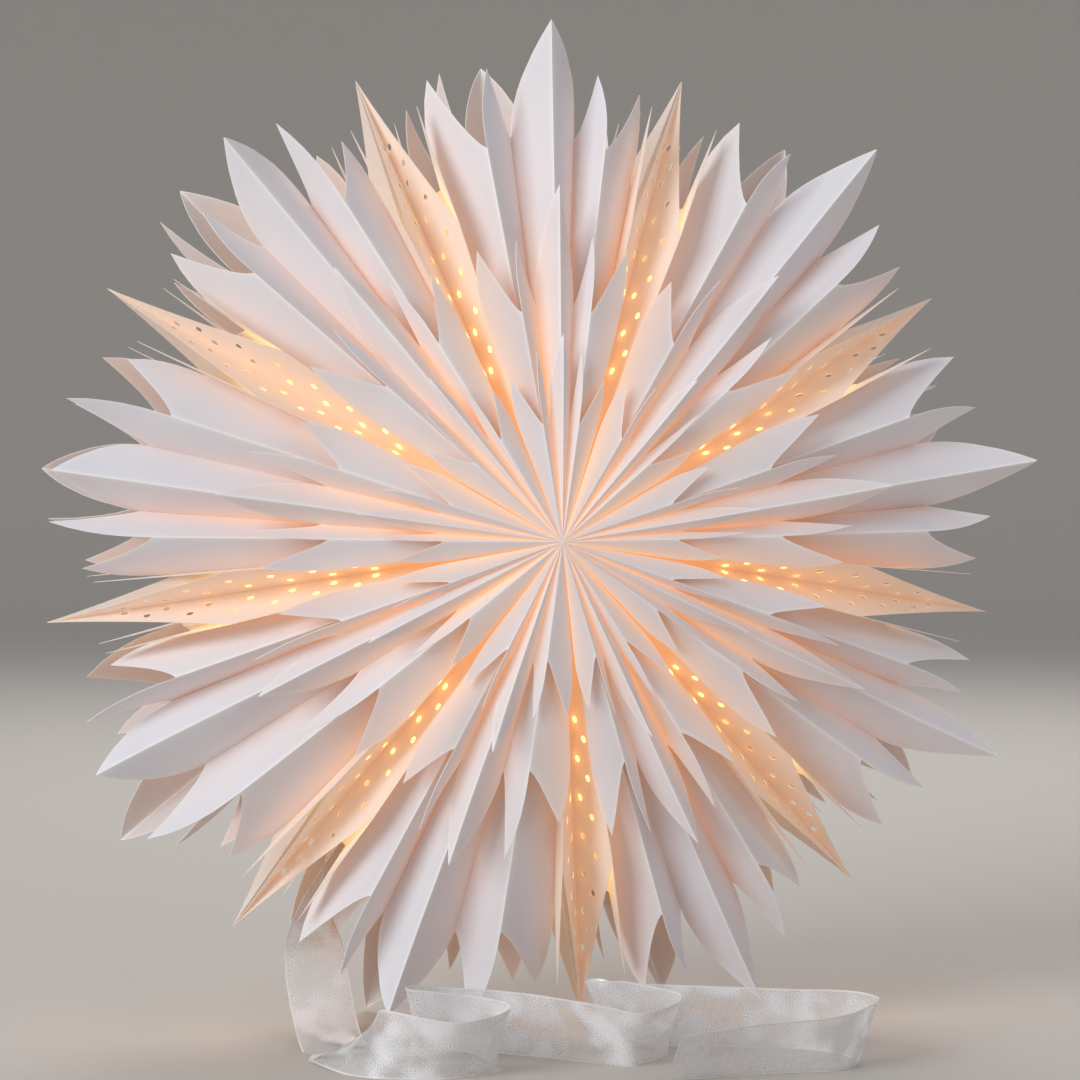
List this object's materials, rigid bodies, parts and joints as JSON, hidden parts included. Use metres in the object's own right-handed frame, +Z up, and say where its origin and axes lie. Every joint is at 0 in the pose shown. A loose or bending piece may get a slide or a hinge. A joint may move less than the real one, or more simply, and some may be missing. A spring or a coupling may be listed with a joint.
{
  "type": "paper star decoration",
  "caption": "Large star lantern of folded white paper: deep perforated points between pleated petal fans at front and back, a battery light inside and a sheer ribbon to hang it by.",
  "frame": {"origin": "the star's middle, on its axis and halfway between its front and back hubs", "axes": "-Y is the front, +Z is up as the star hangs or stands, +X is to the right seen from the front"},
  "size_m": [0.5853, 0.3054, 0.5932],
  "materials": {
    "point_paper": "matte, lit warm from the inside",
    "petal_paper": "matte",
    "light_plastic": "frosted, lit",
    "organza": "sheer with a fine sparkle"
  },
  "bodies": {
    "root": {"star_point_1": "point_paper", "star_point_2": "point_paper", "star_point_3": "point_paper", "star_point_4": "point_paper", "star_point_5": "point_paper", "star_point_6": "point_paper", "star_point_7": "point_paper", "star_point_8": "point_paper", "star_point_9": "point_paper", "front_petals_1": "petal_paper", "front_petals_2": "petal_paper", "front_petals_3": "petal_paper", "front_petals_4": "petal_paper", "front_petals_5": "petal_paper", "front_petals_6": "petal_paper", "front_petals_7": "petal_paper", "front_petals_8": "petal_paper", "front_petals_9": "petal_paper", "back_petals_1": "petal_paper", "back_petals_2": "petal_paper", "back_petals_3": "petal_paper", "back_petals_4": "petal_paper", "back_petals_5": "petal_paper", "back_petals_6": "petal_paper", "back_petals_7": "petal_paper", "back_petals_8": "petal_paper", "back_petals_9": "petal_paper", "front_small_petals_1": "petal_paper", "front_small_petals_2": "petal_paper", "front_small_petals_3": "petal_paper", "front_small_petals_4": "petal_paper", "front_small_petals_5": "petal_paper", "front_small_petals_6": "petal_paper", "front_small_petals_7": "petal_paper", "front_small_petals_8": "petal_paper", "front_small_petals_9": "petal_paper", "back_small_petals_1": "petal_paper", "back_small_petals_2": "petal_paper", "back_small_petals_3": "petal_paper", "back_small_petals_4": "petal_paper", "back_small_petals_5": "petal_paper", "back_small_petals_6": "petal_paper", "back_small_petals_7": "petal_paper", "back_small_petals_8": "petal_paper", "back_small_petals_9": "petal_paper", "light_puck": "light_plastic", "ribbon": "organza"}
  },
  "joints": []
}
